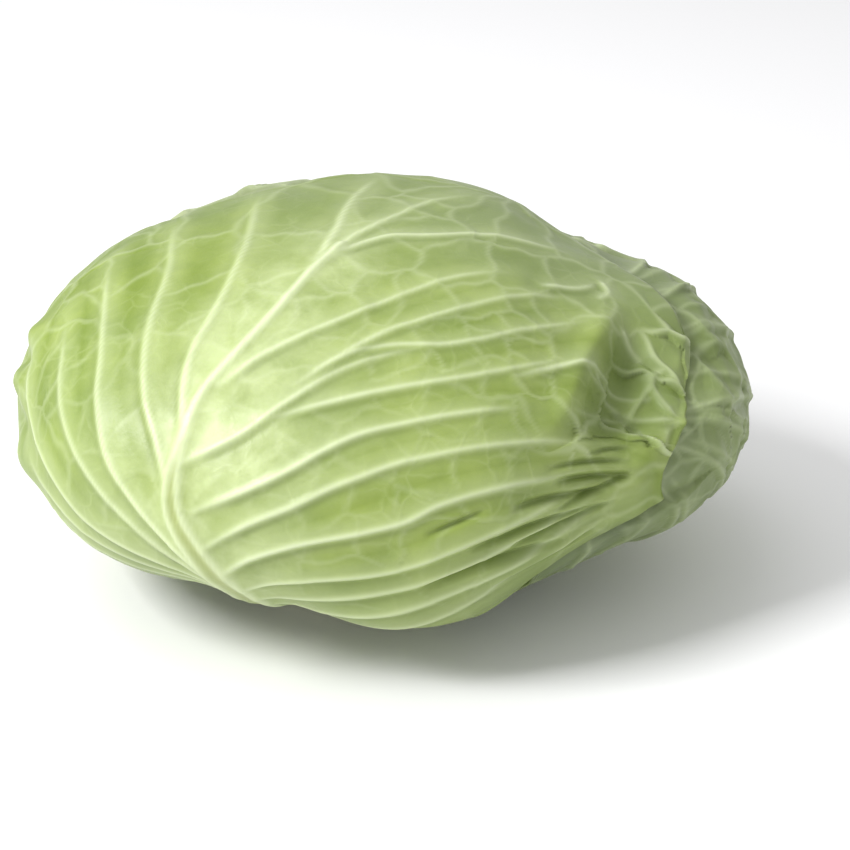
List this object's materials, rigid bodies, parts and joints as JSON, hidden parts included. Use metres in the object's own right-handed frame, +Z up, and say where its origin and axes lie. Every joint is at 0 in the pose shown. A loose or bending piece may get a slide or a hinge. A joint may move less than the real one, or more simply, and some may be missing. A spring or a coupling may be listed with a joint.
{
  "type": "flat cabbage",
  "caption": "Flat-headed pale green cabbage: folded wrapper leaves around nested inner leaves, a short cut stem and a heart bud, resting on its underside.",
  "frame": {"origin": "centre of the bounding box's bottom face, on the surface the head rests on", "axes": "+X along the longest side, +Z up through the flat crown, -Y towards the viewer and the stem's side"},
  "size_m": [0.2241, 0.1915, 0.1127],
  "materials": {
    "stem": "pale, moist, finely fibrous cut stem",
    "wrapper_leaf": "waxy pale green leaf with raised pale veins and a dusty bloom",
    "inner_leaf": "smooth pale yellow-green leaf with pale veins",
    "heart": "crinkled pale yellow folded leaves"
  },
  "bodies": {
    "root": {"stem": "stem", "wrapper_leaf_1": "wrapper_leaf", "wrapper_leaf_2": "wrapper_leaf", "wrapper_leaf_3": "wrapper_leaf", "wrapper_leaf_4": "wrapper_leaf", "wrapper_leaf_5": "wrapper_leaf", "wrapper_leaf_6": "wrapper_leaf", "wrapper_leaf_7": "wrapper_leaf", "wrapper_leaf_8": "wrapper_leaf", "inner_leaf_1": "inner_leaf", "inner_leaf_2": "inner_leaf", "inner_leaf_3": "inner_leaf", "inner_leaf_4": "inner_leaf", "inner_leaf_5": "inner_leaf", "inner_leaf_6": "inner_leaf", "inner_leaf_7": "inner_leaf", "inner_leaf_8": "inner_leaf", "inner_leaf_9": "inner_leaf", "inner_leaf_10": "inner_leaf", "inner_leaf_11": "inner_leaf", "inner_leaf_12": "inner_leaf", "heart_bud": "heart"}
  },
  "joints": []
}
